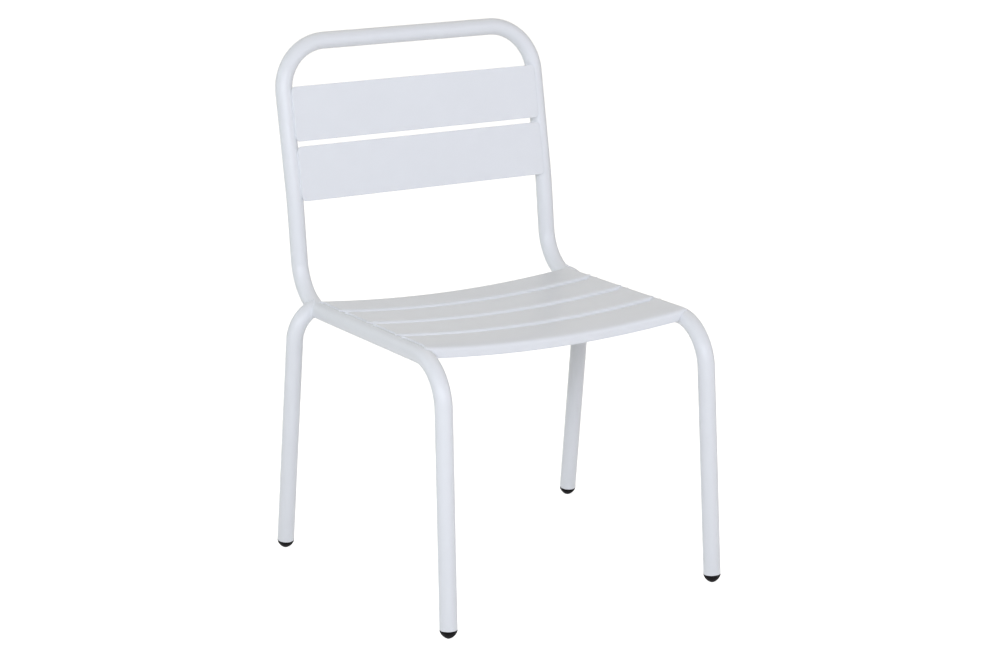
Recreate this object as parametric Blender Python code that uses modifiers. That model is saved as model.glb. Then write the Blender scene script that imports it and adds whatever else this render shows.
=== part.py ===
"""Child-size bistro chair: a bent steel tube frame, pressed steel slats and domed feet.

Metres, +Z up. The front faces -Y. The origin is on the floor, under the middle of the outline.
"""

import math

import bmesh
import bpy
from mathutils import Matrix, Vector

# Main sizes: overall height and depth, height of the rails' centre line over the front legs, and
# from the middle of the chair to a rail or upright
CHAIR_HEIGHT = 0.5737
CHAIR_DEPTH = 0.4024
RAIL_HEIGHT = 0.2876
RAIL_SPREAD = 0.1600

# Tube of the frame and the rear legs
TUBE_DIAMETER = 0.019
TUBE_WALL = 0.0015
TUBE_SIDES = 16
BEND_STEP = 11.5
ENVELOPE_SIDES = 24
ENVELOPE_STEP = 5.0
TUBE_RADIUS = TUBE_DIAMETER / 2

# How far the frame's straight runs lean, splay, rise and fall
FRONT_FOOT_INSET = 0.0089
FRONT_LEG_LEAN = 0.0173
FRONT_LEG_SPLAY = 0.00455
REAR_LEG_SPLAY = 0.02755
RAIL_FALL = 0.0071
UPRIGHT_RISE = 0.1117
UPRIGHT_LEAN = 0.0129
RECLINE_LEAN = 0.0331

# Where the straight runs of the frame's centre line would meet, on the right-hand side
FRONT_FOOT = Vector((RAIL_SPREAD + FRONT_LEG_SPLAY, FRONT_FOOT_INSET - CHAIR_DEPTH / 2, 0.0))
FRONT_CORNER = Vector((RAIL_SPREAD, FRONT_FOOT.y + FRONT_LEG_LEAN, RAIL_HEIGHT))
HOOP_CORNER = Vector((RAIL_SPREAD, CHAIR_DEPTH / 2 - TUBE_RADIUS, CHAIR_HEIGHT - TUBE_RADIUS))
RECLINE_CORNER = Vector((RAIL_SPREAD, HOOP_CORNER.y - RECLINE_LEAN, 0.0))
RECLINE_CORNER.z = RAIL_HEIGHT - RAIL_FALL + UPRIGHT_RISE
REAR_CORNER = RECLINE_CORNER - Vector((0.0, UPRIGHT_LEAN, UPRIGHT_RISE))
REAR_FOOT = Vector((RAIL_SPREAD + REAR_LEG_SPLAY, REAR_CORNER.y, 0.0))

# Radius of each bend, on the centre line
FRONT_BEND = 0.0506
REAR_BEND = 0.0530
RECLINE_BEND = 0.427
HOOP_BEND = 0.0543

# Rear legs: one bend, and a cope against the rail's outer side
REAR_LEG_BEND = 0.0340
REAR_LEG_RISE = 13.9
REAR_LEG_SWEEP = 10.2
REAR_LEG_WELD_TURN = 17.2

# Feet: a dome as wide as the tube, and a stem in its bore
FOOT_STAND = 0.0093
FOOT_DOME = 0.0097
FOOT_STEM = 0.020
FOOT_DOME_STEPS = 6
FOOT_DOME_POWER = 1.25

# Seat slats, lengths along the rail; they end inside the rail's centre line, and the dish runs
# from side to side
SEAT_END_INSET = 0.0020
SEAT_DISH = 0.0088
SEAT_STATIONS = 16
SEAT_SHEET = 0.0012
SEAT_REAR_SLAT_DEPTH = 0.0514
SEAT_FRONT_FLAT = 0.0397
SEAT_SLAT_GAP = 0.0094
SEAT_REAR_EDGE = 0.0424
FLANGE_BEND = 0.0030
FLANGE_RUN = 0.0070
FOLD_STEP = 22.5
TAB_CORNER = 0.0020

# Front edge of the front slat, which first follows the frame's front bend
LIP_FOLLOW_ANGLE = 10.9
LIP_BEND = 0.0045
LIP_RUN = 0.0072

# Back slats, heights along the upright from the recline bend; they end inside its centre line
BACK_END_INSET = 0.0050
BACK_SHEET = 0.0020
BACK_SLAT_GAP = 0.0052
BACK_SLAT_START = 0.0005
BACK_HAND_HOLD = 0.0480
BACK_CORNER = 0.0045

# Clearances
WELD_GAP = 0.0003
COPE_GAP = 0.0020
STEM_GAP = 0.0003

# Finish
PAINT = (0.78, 0.80, 0.84, 1.0)
PAINT_ROUGHNESS = 0.35
FOOT_BLACK = (0.012, 0.011, 0.012, 1.0)
FOOT_ROUGHNESS = 0.45
SHARP_ANGLE = 40.0

SEAT_HEIGHT = TUBE_RADIUS + WELD_GAP + SEAT_SHEET
SEAT_HALF_WIDTH = RAIL_SPREAD - SEAT_END_INSET
BACK_HALF_WIDTH = RAIL_SPREAD - BACK_END_INSET
BACK_RUN = (HOOP_CORNER - RECLINE_CORNER).length - BACK_SLAT_START - BACK_HAND_HOLD
BACK_SLAT_HEIGHT = (BACK_RUN - BACK_SLAT_GAP) / 2
MERGE = 0.00001


def clear_scene():
    for obj in list(bpy.data.objects):
        bpy.data.objects.remove(obj, do_unlink=True)


def new_collection(name):
    collection = bpy.data.collections.new(name)
    bpy.context.scene.collection.children.link(collection)
    return collection


def finish(name, colour, roughness):
    """A plain surface finish for one piece."""
    material = bpy.data.materials.new(name)
    material.use_nodes = True
    shader = material.node_tree.nodes["Principled BSDF"]
    shader.inputs["Base Color"].default_value = colour
    shader.inputs["Roughness"].default_value = roughness
    shader.inputs["Metallic"].default_value = 0.0
    material.diffuse_color = colour
    return material


def node_from_bmesh(name, form, collection, material=None):
    mesh = bpy.data.meshes.new(name)
    bmesh.ops.recalc_face_normals(form, faces=form.faces)
    form.to_mesh(mesh)
    form.free()
    mesh.shade_smooth()
    mesh.set_sharp_from_angle(angle=math.radians(SHARP_ANGLE))
    if material:
        mesh.materials.append(material)
    obj = bpy.data.objects.new(name, mesh)
    collection.objects.link(obj)
    return obj


def mirrored(point):
    """The same point on the other side of the chair."""
    return Vector((-point.x, point.y, point.z))


class Bend:
    """The arc of one radius that joins two straight runs meeting at a corner."""

    def __init__(self, before, corner, after, radius):
        back = (before - corner).normalized()
        ahead = (after - corner).normalized()
        half = back.angle(ahead) / 2
        self.turn = math.pi - 2 * half
        self.start = corner + back * (radius / math.tan(half))
        self.centre = corner + (back + ahead).normalized() * (radius / math.sin(half))
        self.axis = (self.start - self.centre).cross(-back).normalized()

    def point(self, angle):
        return self.centre + Matrix.Rotation(angle, 3, self.axis) @ (self.start - self.centre)

    def points(self, degrees):
        steps = max(2, round(math.degrees(self.turn) / degrees))
        return [self.point(self.turn * step / steps) for step in range(steps + 1)]


def bent_path(corners, radii, degrees):
    """Points along a centre line: its two ends, and an arc at each corner between them."""
    path = [corners[0]]
    for index, radius in enumerate(radii, start=1):
        bend = Bend(corners[index - 1], corners[index], corners[index + 1], radius)
        path += bend.points(degrees)
    path.append(corners[-1])
    return path


def tube_mesh(name, path, radius, sides, closed_ends):
    """The round skin along a path, made by a bevelled curve."""
    curve = bpy.data.curves.new(name, "CURVE")
    curve.dimensions = "3D"
    curve.bevel_depth = radius
    curve.bevel_resolution = (sides - 4) // 2
    curve.use_fill_caps = closed_ends
    spline = curve.splines.new("POLY")
    spline.points.add(len(path) - 1)
    for control, point in zip(spline.points, path):
        control.co = (*point, 1.0)
    guide = bpy.data.objects.new(name + "_path", curve)
    bpy.context.scene.collection.objects.link(guide)
    evaluated = guide.evaluated_get(bpy.context.evaluated_depsgraph_get())
    mesh = bpy.data.meshes.new_from_object(evaluated)
    bpy.data.objects.remove(guide, do_unlink=True)
    form = bmesh.new()
    form.from_mesh(mesh)
    bpy.data.meshes.remove(mesh)
    bmesh.ops.remove_doubles(form, verts=form.verts, dist=MERGE)
    return form


def hollow_tube(name, path, collection, material):
    """An open-ended tube with its wall."""
    form = tube_mesh(name, path, TUBE_RADIUS, TUBE_SIDES, False)
    obj = node_from_bmesh(name, form, collection, material)
    wall = obj.modifiers.new("wall", "SOLIDIFY")
    wall.thickness = TUBE_WALL
    wall.offset = -1.0
    wall.use_even_offset = True
    return obj


def cut(obj, cutter):
    boolean = obj.modifiers.new(cutter.name, "BOOLEAN")
    boolean.operation = "DIFFERENCE"
    boolean.solver = "EXACT"
    boolean.object = cutter


def as_cutter(obj):
    obj.hide_render = True
    obj.display_type = "WIRE"
    return obj


def raised(foot, above):
    """Where a leg's tube ends: on its centre line, a foot's height off the floor."""
    return foot + (above - foot).normalized() * FOOT_STAND


def frame_path(degrees):
    """The whole frame's centre line, from the right front foot over the hoop to the left one."""
    corners = [FRONT_FOOT, FRONT_CORNER, REAR_CORNER, RECLINE_CORNER, HOOP_CORNER]
    corners[0] = raised(FRONT_FOOT, FRONT_CORNER)
    corners += [mirrored(point) for point in reversed(corners)]
    radii = [FRONT_BEND, REAR_BEND, RECLINE_BEND, HOOP_BEND]
    return bent_path(corners, radii + radii[::-1], degrees)


def rear_leg_path(foot, weld):
    """The centre line of a rear leg: straight up from its foot, then round one bend to the weld."""
    sweep = math.radians(REAR_LEG_SWEEP)
    outward = Vector((math.copysign(math.cos(sweep), weld.x), -math.sin(sweep), 0.0))
    up = weld - foot
    up = (up - outward * up.dot(outward)).normalized()
    rise = math.radians(REAR_LEG_RISE)
    centre = weld - REAR_LEG_BEND * (outward * math.sin(rise) + up * math.cos(rise))
    to_foot = foot - centre
    first = math.atan2(to_foot.dot(up), to_foot.dot(outward))
    first += math.acos(REAR_LEG_BEND / to_foot.length)
    last = math.pi / 2 - rise
    steps = round(math.degrees(last - first) / BEND_STEP)
    path = []
    for step in range(steps + 1):
        angle = first + (last - first) * step / steps
        path.append(centre + REAR_LEG_BEND * (outward * math.cos(angle) + up * math.sin(angle)))
    return [raised(foot, path[0]), *path]


def foot(name, floor_point, tube_end, collection, material, floor_block):
    """A domed foot with its stem, turned about the leg's axis and cut flat where it stands."""
    form = bmesh.new()
    stem_radius = TUBE_RADIUS - TUBE_WALL - STEM_GAP
    profile = [(0.0, FOOT_STEM), (stem_radius, FOOT_STEM), (stem_radius, 0.0)]
    for step in range(FOOT_DOME_STEPS + 1):
        angle = math.pi / 2 * step / FOOT_DOME_STEPS
        across = abs(math.cos(angle)) ** FOOT_DOME_POWER if step < FOOT_DOME_STEPS else 0.0
        profile.append((TUBE_RADIUS * across, -FOOT_DOME * math.sin(angle) ** FOOT_DOME_POWER))
    points = [form.verts.new((x, 0.0, z)) for x, z in profile]
    for first, second in zip(points, points[1:]):
        form.edges.new((first, second))
    bmesh.ops.spin(
        form,
        geom=form.verts[:] + form.edges[:],
        axis=(0.0, 0.0, 1.0),
        cent=(0.0, 0.0, 0.0),
        angle=2 * math.pi,
        steps=TUBE_SIDES,
    )
    bmesh.ops.remove_doubles(form, verts=form.verts, dist=MERGE)
    obj = node_from_bmesh(name, form, collection, material)
    axis = (tube_end - floor_point).normalized()
    obj.location = tube_end - axis * WELD_GAP
    obj.rotation_mode = "QUATERNION"
    obj.rotation_quaternion = axis.to_track_quat("Z", "Y")
    cut(obj, floor_block)
    return obj


def sheet_section(rear_edge, moves):
    """A folded sheet's outer face in the YZ plane, starting upwards at its rear edge.

    Each move is a radius and the degrees it turns forward, or a radius of 0 and a straight length.
    """
    position = Vector((0.0, 0.0, 0.0))
    heading = 0.0
    points = [position.copy()]
    for radius, amount in moves:
        if radius == 0.0:
            position += amount * Vector((0.0, -math.sin(heading), math.cos(heading)))
            points.append(position.copy())
            continue
        turn = math.radians(amount)
        steps = max(2, round(amount / FOLD_STEP))
        centre = position + radius * Vector((0.0, -math.cos(heading), -math.sin(heading)))
        for step in range(1, steps + 1):
            angle = heading + turn * step / steps
            points.append(centre + radius * Vector((0.0, math.cos(angle), math.sin(angle))))
        position = points[-1].copy()
        heading += turn
    top = max(point.z for point in points)
    return [Vector((0.0, point.y + rear_edge, point.z - top)) for point in points]


def seat_slat(name, section, bend_end, collection, material):
    """A pressed slat across the rails: a folded section, dished, its ends coped round the rails.

    The section is in the frame that lies on the rails, where the front bend starts at bend_end.
    """
    bend_centre = Vector((0.0, bend_end, -SEAT_HEIGHT - FRONT_BEND))

    def above_tube(point):
        """Height of a point of the section over the tube's centre line."""
        if point.y > bend_end:
            return SEAT_HEIGHT + point.z
        return (Vector((0.0, point.y, point.z)) - bend_centre).length - FRONT_BEND

    top = [point.y for point in section if above_tube(point) > SEAT_HEIGHT - MERGE]

    def end_distance(point):
        """How far from the middle the sheet ends at this point of its section."""
        height = above_tube(point)
        if height > SEAT_HEIGHT - MERGE and min(top) + MERGE < point.y < max(top) - MERGE:
            return SEAT_HALF_WIDTH
        return RAIL_SPREAD - math.sqrt((TUBE_RADIUS + COPE_GAP) ** 2 - height**2)

    form = bmesh.new()
    points = [form.verts.new((-SEAT_HALF_WIDTH, point.y, point.z)) for point in section]
    edges = [form.edges.new(pair) for pair in zip(points, points[1:])]
    for _ in range(SEAT_STATIONS):
        extruded = bmesh.ops.extrude_edge_only(form, edges=edges)["geom"]
        moved = [item for item in extruded if isinstance(item, bmesh.types.BMVert)]
        bmesh.ops.translate(form, verts=moved, vec=(2 * SEAT_HALF_WIDTH / SEAT_STATIONS, 0.0, 0.0))
        edges = [
            item
            for item in extruded
            if isinstance(item, bmesh.types.BMEdge) and all(end in moved for end in item.verts)
        ]
    for vert in form.verts:
        vert.co.x *= end_distance(vert.co) / SEAT_HALF_WIDTH
        vert.co.z -= SEAT_DISH * (1.0 - (vert.co.x / SEAT_HALF_WIDTH) ** 2)
    obj = node_from_bmesh(name, form, collection, material)
    highest = max(obj.data.polygons, key=lambda face: face.center.z)
    if highest.normal.z < 0:
        obj.data.flip_normals()
    sheet = obj.modifiers.new("sheet", "SOLIDIFY")
    sheet.thickness = SEAT_SHEET
    sheet.offset = -1.0
    sheet.use_even_offset = True
    return obj


def back_slat(name, start, collection, material):
    """A flat slat with rounded corners, on the front of the uprights."""
    form = bmesh.new()
    size = Matrix.Diagonal((2 * BACK_HALF_WIDTH, BACK_SHEET, BACK_SLAT_HEIGHT, 1.0))
    bmesh.ops.create_cube(form, size=1.0, matrix=size)
    corners = [edge for edge in form.edges if abs(edge.verts[0].co.y - edge.verts[1].co.y) > MERGE]
    bmesh.ops.bevel(form, geom=corners, offset=BACK_CORNER, segments=4, profile=0.5, affect="EDGES")
    obj = node_from_bmesh(name, form, collection, material)
    along = (HOOP_CORNER - RECLINE_CORNER).normalized()
    forward = Vector((0.0, -along.z, along.y))
    middle = Vector((0.0, RECLINE_CORNER.y, RECLINE_CORNER.z))
    middle += along * (start + BACK_SLAT_HEIGHT / 2)
    seated = math.sqrt((TUBE_RADIUS + WELD_GAP) ** 2 - BACK_END_INSET**2)
    obj.location = middle + forward * (seated + BACK_SHEET / 2)
    obj.rotation_euler = (-math.atan2(along.y, along.z), 0.0, 0.0)
    return obj


def build():
    clear_scene()
    chair = new_collection("child_bistro_chair")
    cutters = new_collection("cutters")
    cutters.hide_render = True

    # Bent frame
    path = frame_path(BEND_STEP)
    frame = hollow_tube("frame_tube", path, chair, finish("frame_paint", PAINT, PAINT_ROUGHNESS))
    nodes = [frame]

    # Rear legs, coped to the rails
    fine_path = frame_path(ENVELOPE_STEP)
    envelope = tube_mesh("rail_envelope", fine_path, TUBE_RADIUS + WELD_GAP, ENVELOPE_SIDES, True)
    envelope = as_cutter(node_from_bmesh("rail_envelope", envelope, cutters))
    rear_bend = Bend(FRONT_CORNER, REAR_CORNER, RECLINE_CORNER, REAR_BEND)
    right_weld = rear_bend.point(math.radians(REAR_LEG_WELD_TURN))
    sides = (("left", mirrored), ("right", Vector))
    leg_ends = {}
    for side, place in sides:
        leg = rear_leg_path(place(REAR_FOOT), place(right_weld))
        paint = finish("rear_leg_paint_" + side, PAINT, PAINT_ROUGHNESS)
        tube = hollow_tube("rear_leg_" + side, leg, chair, paint)
        cut(tube, envelope)
        nodes.append(tube)
        leg_ends["rear_" + side] = (place(REAR_FOOT), leg[0])
        leg_ends["front_" + side] = (place(FRONT_FOOT), place(path[0]))

    # Feet
    block = bmesh.new()
    span = 2 * abs(HOOP_CORNER.z)
    bmesh.ops.create_cube(block, size=span, matrix=Matrix.Translation((0.0, 0.0, -span / 2)))
    floor_block = as_cutter(node_from_bmesh("floor_block", block, cutters))
    for place_name, (floor_point, tube_end) in leg_ends.items():
        rubber = finish("foot_black_" + place_name, FOOT_BLACK, FOOT_ROUGHNESS)
        nodes.append(foot("foot_" + place_name, floor_point, tube_end, chair, rubber, floor_block))

    # Seat slats, in a frame that lies on the rails and whose Y runs along them
    rail = REAR_CORNER - FRONT_CORNER
    slope = math.atan2(rail.z, rail.y)
    middle = FRONT_CORNER + rail / 2
    raise_by = Vector((0.0, -math.sin(slope), math.cos(slope))) * SEAT_HEIGHT
    slat_origin = Vector((0.0, middle.y, middle.z)) + raise_by
    front_bend = Bend(FRONT_FOOT, FRONT_CORNER, REAR_CORNER, FRONT_BEND)
    straight_loss = (front_bend.point(front_bend.turn) - FRONT_CORNER).length
    bend_end = straight_loss - rail.length / 2
    rear_edge = rail.length / 2 - SEAT_REAR_EDGE
    middle_run = rear_edge - bend_end - SEAT_REAR_SLAT_DEPTH - 3 * SEAT_SLAT_GAP - SEAT_FRONT_FLAT
    fold = (FLANGE_BEND, 90.0)
    flange = (0.0, FLANGE_RUN)
    corner = (0.0, TAB_CORNER)
    depths = {"rear": SEAT_REAR_SLAT_DEPTH, "mid_rear": middle_run / 2, "mid_front": middle_run / 2}
    sections = {}
    for place_name, depth in depths.items():
        flat = (0.0, depth - 2 * FLANGE_BEND - 2 * TAB_CORNER)
        moves = [flange, fold, corner, flat, corner, fold, flange]
        sections[place_name] = sheet_section(rear_edge, moves)
        rear_edge -= depth + SEAT_SLAT_GAP
    flat = (0.0, rear_edge - FLANGE_BEND - TAB_CORNER - bend_end)
    follow = (FRONT_BEND + SEAT_HEIGHT, LIP_FOLLOW_ANGLE)
    lip = (LIP_BEND, 90.0 - LIP_FOLLOW_ANGLE)
    moves = [flange, fold, corner, flat, follow, lip, (0.0, LIP_RUN)]
    sections["front"] = sheet_section(rear_edge, moves)
    for place_name, section in sections.items():
        paint = finish("seat_paint_" + place_name, PAINT, PAINT_ROUGHNESS)
        slat = seat_slat("seat_slat_" + place_name, section, bend_end, chair, paint)
        slat.location = slat_origin
        slat.rotation_euler = (slope, 0.0, 0.0)
        nodes.append(slat)

    # Back slats
    start = BACK_SLAT_START
    for place_name in ("lower", "upper"):
        paint = finish("back_paint_" + place_name, PAINT, PAINT_ROUGHNESS)
        nodes.append(back_slat("back_slat_" + place_name, start, chair, paint))
        start += BACK_SLAT_HEIGHT + BACK_SLAT_GAP

    # One empty on the floor carries every piece
    origin = bpy.data.objects.new("child_bistro_chair_origin", None)
    chair.objects.link(origin)
    for node in nodes:
        node.parent = origin


build()
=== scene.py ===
"""Child-size bistro chair in satin white powder coat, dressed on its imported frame.

Metres, +Z up. The front faces -Y and the floor is at Z = 0.
"""

import math

import bmesh
import bpy
from bpy.props import FloatProperty, FloatVectorProperty, IntProperty, PointerProperty
from mathutils import Matrix, Vector


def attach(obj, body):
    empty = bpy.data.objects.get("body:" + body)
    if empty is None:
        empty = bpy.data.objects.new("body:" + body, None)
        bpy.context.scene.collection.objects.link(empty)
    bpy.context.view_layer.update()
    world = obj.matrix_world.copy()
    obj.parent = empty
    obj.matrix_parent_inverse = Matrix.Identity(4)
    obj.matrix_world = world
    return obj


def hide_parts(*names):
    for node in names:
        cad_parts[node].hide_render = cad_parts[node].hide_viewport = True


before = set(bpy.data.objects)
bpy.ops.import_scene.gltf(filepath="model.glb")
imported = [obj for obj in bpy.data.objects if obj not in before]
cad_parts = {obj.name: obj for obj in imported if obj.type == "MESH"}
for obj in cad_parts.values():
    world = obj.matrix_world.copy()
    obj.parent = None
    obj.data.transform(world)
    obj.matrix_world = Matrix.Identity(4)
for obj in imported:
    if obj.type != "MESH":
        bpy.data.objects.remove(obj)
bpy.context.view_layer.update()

bl_info = {
    "name": "Bistro Chair",
    "version": (1, 0, 0),
    "blender": (4, 5, 0),
    "location": "View3D > Sidebar > Chair",
    "description": "Builds a child-size bistro chair of bent tube and pressed slats, with its stage",
    "category": "Add Mesh",
}

BODY = "root"
PAINT_SLOT = "white_paint"
FOOT_SLOT = "black_foot"
WHITE = (1.0, 1.0, 1.0, 1.0)

# Points closer than MERGE are one, and a face of more than MANY_SIDES sides is a cap or a plate
MERGE = 0.00001
MANY_SIDES = 8
CREASE = math.radians(50.0)
SHARP = math.radians(40.0)
BEAD_SHARP = math.radians(80.0)


def described(kind, name, description, default, **more):
    """A property with its label, its tooltip and its first value."""
    return kind(name=name, description=description, default=default, **more)


def length(*args):
    return described(FloatProperty, *args, unit="LENGTH", precision=5)


def place(*args):
    return described(FloatVectorProperty, *args, size=3, subtype="XYZ", unit="LENGTH", precision=5)


def colour(*args):
    return described(FloatVectorProperty, *args, size=3, subtype="COLOR", min=0.0, max=1.0)


def turn(name, description, degrees):
    return described(FloatProperty, name, description, math.radians(degrees), subtype="ANGLE")


def number(*args, low, high):
    return described(FloatProperty, *args, min=low, max=high)


def count(*args, low, high):
    return described(IntProperty, *args, min=low, max=high)


class ChairTubeSettings(bpy.types.PropertyGroup):
    """Sizes of the bent tube; corners are where the right-hand side's straight runs would meet."""

    diameter: length("Diameter", "Outer diameter of the frame's tube", 0.019)
    front_foot: place("Front foot", "Where the front leg meets the floor", (0.16455, -0.1923, 0.0))
    front_corner: place("Front corner", "Top of the front leg", (0.16, -0.175, 0.2876))
    rear_corner: place("Rear corner", "Where the seat rail turns up", (0.16, 0.1457, 0.2805))
    recline_corner: place("Recline corner", "Where the upright leans back", (0.16, 0.1586, 0.3922))
    hoop_corner: place("Hoop corner", "Where the upright meets the top hoop", (0.16, 0.1917, 0.5642))
    front_bend: length("Front bend", "Centre-line radius of the bend over the front leg", 0.0506)
    rear_bend: length("Rear bend", "Centre-line radius of the bend behind the seat", 0.053)
    recline_bend: length("Recline bend", "Centre-line radius where the upright leans back", 0.427)
    hoop_bend: length("Hoop bend", "Centre-line radius of the top hoop's corners", 0.0543)
    rear_foot: place("Rear foot", "Where the rear leg meets the floor", (0.18755, 0.1457, 0.0))
    rear_leg_bend: length("Rear leg bend", "Centre-line radius at the rear leg's top", 0.034)
    rear_leg_rise: turn("Rear leg rise", "Slope of the rear leg's end where it meets the rail", 13.9)
    rear_leg_sweep: turn("Rear leg sweep", "How far the rear leg's bend is turned back", 10.2)
    rear_leg_turn: turn("Rear leg weld", "How far round the rear bend the leg is welded", 17.2)
    foot_stand: length("Foot height", "Height of the tube's end above the floor along the leg", 0.0093)
    sides: count("Sides", "Faces around the tube", 64, low=16, high=128)
    bend_step: turn("Bend step", "Angle between two rings in a bend", 2.0)
    end_round: length("End rounding", "Radius on the tube's cut end", 0.0006)


class ChairSeatSettings(bpy.types.PropertyGroup):
    """Sizes of the pressed seat slats; lengths run along the rail."""

    half_width: length("Half width", "From the middle to the end of a slat", 0.158)
    dish: length("Dish", "How far the middle sags below the ends", 0.0088)
    sheet: length("Sheet", "Thickness of the pressed sheet", 0.0012)
    slat_depth: length("Slat depth", "Front to rear size of a slat", 0.05518)
    rear_slat_depth: length("Rear slat depth", "Front to rear size of the rear slat", 0.0514)
    gap: length("Gap", "Between two slats", 0.0094)
    rear_edge: length("Rear edge", "From the rear corner to the rear slat's edge", 0.0424)
    fold: length("Fold", "Outer radius of the folded edges", 0.003)
    flange: length("Flange", "Straight depth of the folded edges", 0.007)
    corner: length("Corner", "Rounding of a slat's corners on the rail", 0.0025)
    lip_follow: turn("Lip follow", "How far the front slat follows the front bend", 10.9)
    lip_fold: length("Lip fold", "Outer radius of the front edge's roll", 0.0045)
    lip: length("Lip", "Straight depth of the front edge", 0.0072)
    lip_relief: length("Lip relief", "How far the lip's lower corners stand off the legs", 0.0026)
    lift: length("Lift", "From the rail's crown to the underside of a slat's end", 0.0003)
    cope: length("Cope", "Clearance of a folded edge's end round the rail", 0.0003)
    edge: length("Edge rounding", "Radius on the sheet's edges", 0.00045)
    stations: count("Stations", "Faces from side to side", 64, low=16, high=200)
    fold_step: turn("Fold step", "Angle between two rows in a fold", 6.0)


class ChairBackSettings(bpy.types.PropertyGroup):
    """Sizes of the flat back slats; heights run along the upright."""

    half_width: length("Half width", "From the middle to the end of a slat", 0.155)
    sheet: length("Sheet", "Thickness of a slat", 0.002)
    height: length("Height", "Height of a slat", 0.0607)
    gap: length("Gap", "Between the two slats", 0.0052)
    start: length("Start", "From the recline corner to the lower slat", 0.0005)
    corner: length("Corner", "Radius of a slat's corners", 0.0048)
    edge: length("Edge rounding", "Radius on a slat's edges", 0.0005)
    lift: length("Lift", "Between an upright and a slat", 0.00005)


class ChairFootSettings(bpy.types.PropertyGroup):
    """Sizes of the domed feet."""

    dome: length("Dome", "Depth of the dome below the tube's end", 0.0097)
    stem: length("Stem", "Length of the stem in the tube", 0.02)
    wall: length("Wall", "Wall of the tube that the stem fits", 0.0015)
    rim: length("Rim", "Rounding of the dome's rim at the tube's end", 0.0004)
    power: number("Power", "1 for a round dome, more for a more pointed one", 1.25, low=0.5, high=3.0)
    steps: count("Steps", "Rings from the dome's rim to its pole", 20, low=6, high=64)


class ChairWeldSettings(bpy.types.PropertyGroup):
    """Sizes of the painted weld beads."""

    radius: length("Radius", "Radius of a bead", 0.0009)
    pitch: length("Ripple pitch", "Distance from one ripple to the next", 0.0016)
    ripple: number("Ripple", "Ripple as a share of the radius", 0.06, low=0.0, high=0.5)
    fillet: length("Fillet", "Radius of the painted fillet under a seat slat's end", 0.0006)
    tack: length("Tack length", "Length of a short bead behind a slat", 0.014)
    seed: count("Seed", "Seed of the beads' unevenness", 4, low=0, high=1000)


class ChairFinishSettings(bpy.types.PropertyGroup):
    """Colours of the finishes."""

    paint: colour("Paint", "Satin white powder coat", (0.80, 0.82, 0.86))
    paint_low: colour("Paint, second tone", "Faint tone in the powder coat", (0.792, 0.812, 0.852))
    foot: colour("Foot", "Black moulded foot", (0.005, 0.0045, 0.005))
    foot_low: colour("Foot, second tone", "Faint tone in the feet", (0.009, 0.008, 0.009))


class ChairStageSettings(bpy.types.PropertyGroup):
    """Floor, lamps and camera."""

    floor_size: length("Floor size", "Side of the floor", 30.0)
    floor: colour("Floor", "Colour of the floor", (0.80, 0.80, 0.80))
    camera_place: place("Camera", "Where the camera stands", (-1.3708, -2.36105, 0.9849))
    camera_azimuth: turn("Azimuth", "Which way the camera looks, round the chair", -30.3005)
    camera_elevation: turn("Elevation", "How far the camera looks down", 14.9095)
    camera_lens: number("Lens", "Focal length in millimetres", 92.814, low=10.0, high=500.0)


# Geometry that the pieces share


def mirrored(point):
    return Vector((-point.x, point.y, point.z))


# The side of a pair, and what takes a point of the right one there
PAIR = (("left", mirrored), ("right", Vector))


class Bend:
    """The arc of one radius that joins two straight runs meeting at a corner."""

    def __init__(self, before, corner, after, radius):
        back = (before - corner).normalized()
        ahead = (after - corner).normalized()
        half = back.angle(ahead) / 2
        self.turn = math.pi - 2 * half
        self.start = corner + back * (radius / math.tan(half))
        self.centre = corner + (back + ahead).normalized() * (radius / math.sin(half))
        self.axis = (self.start - self.centre).cross(-back).normalized()

    def point(self, angle):
        return self.centre + Matrix.Rotation(angle, 3, self.axis) @ (self.start - self.centre)

    def points(self, step_angle):
        steps = max(4, round(self.turn / step_angle))
        return [self.point(self.turn * step / steps) for step in range(steps + 1)]


def raised(foot, above, height):
    return foot + (above - foot).normalized() * height


def frame_corners(tube):
    """The right-hand half of the frame's corners, from the foot to the hoop."""
    return [
        Vector(tube.front_foot),
        Vector(tube.front_corner),
        Vector(tube.rear_corner),
        Vector(tube.recline_corner),
        Vector(tube.hoop_corner),
    ]


def frame_path(tube):
    """The frame's centre line, from the right front foot over the hoop to the left one."""
    corners = frame_corners(tube)
    corners[0] = raised(corners[0], corners[1], tube.foot_stand)
    corners += [mirrored(point) for point in reversed(corners)]
    radii = [tube.front_bend, tube.rear_bend, tube.recline_bend, tube.hoop_bend]
    radii += radii[::-1]
    path = [corners[0]]
    for index, radius in enumerate(radii, start=1):
        bend = Bend(corners[index - 1], corners[index], corners[index + 1], radius)
        path += bend.points(tube.bend_step)
    path.append(corners[-1])
    return path


def rear_weld(tube):
    """Where the right rear leg's centre line ends at the rail."""
    corners = frame_corners(tube)
    return Bend(corners[1], corners[2], corners[3], tube.rear_bend).point(tube.rear_leg_turn)


def rear_leg_path(tube):
    """The right rear leg's centre line: straight from its foot, then round one bend to the weld."""
    foot = Vector(tube.rear_foot)
    weld = rear_weld(tube)
    radius = tube.rear_leg_bend
    outward = Vector((math.cos(tube.rear_leg_sweep), -math.sin(tube.rear_leg_sweep), 0.0))
    up = weld - foot
    up = (up - outward * up.dot(outward)).normalized()
    rise = tube.rear_leg_rise
    centre = weld - radius * (outward * math.sin(rise) + up * math.cos(rise))
    to_foot = foot - centre
    first = math.atan2(to_foot.dot(up), to_foot.dot(outward)) + math.acos(radius / to_foot.length)
    last = math.pi / 2 - rise
    steps = round((last - first) / tube.bend_step)
    arc = []
    for step in range(steps + 1):
        angle = first + (last - first) * step / steps
        arc.append(centre + radius * (outward * math.cos(angle) + up * math.sin(angle)))
    return [raised(foot, arc[0], tube.foot_stand), *arc]


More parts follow.
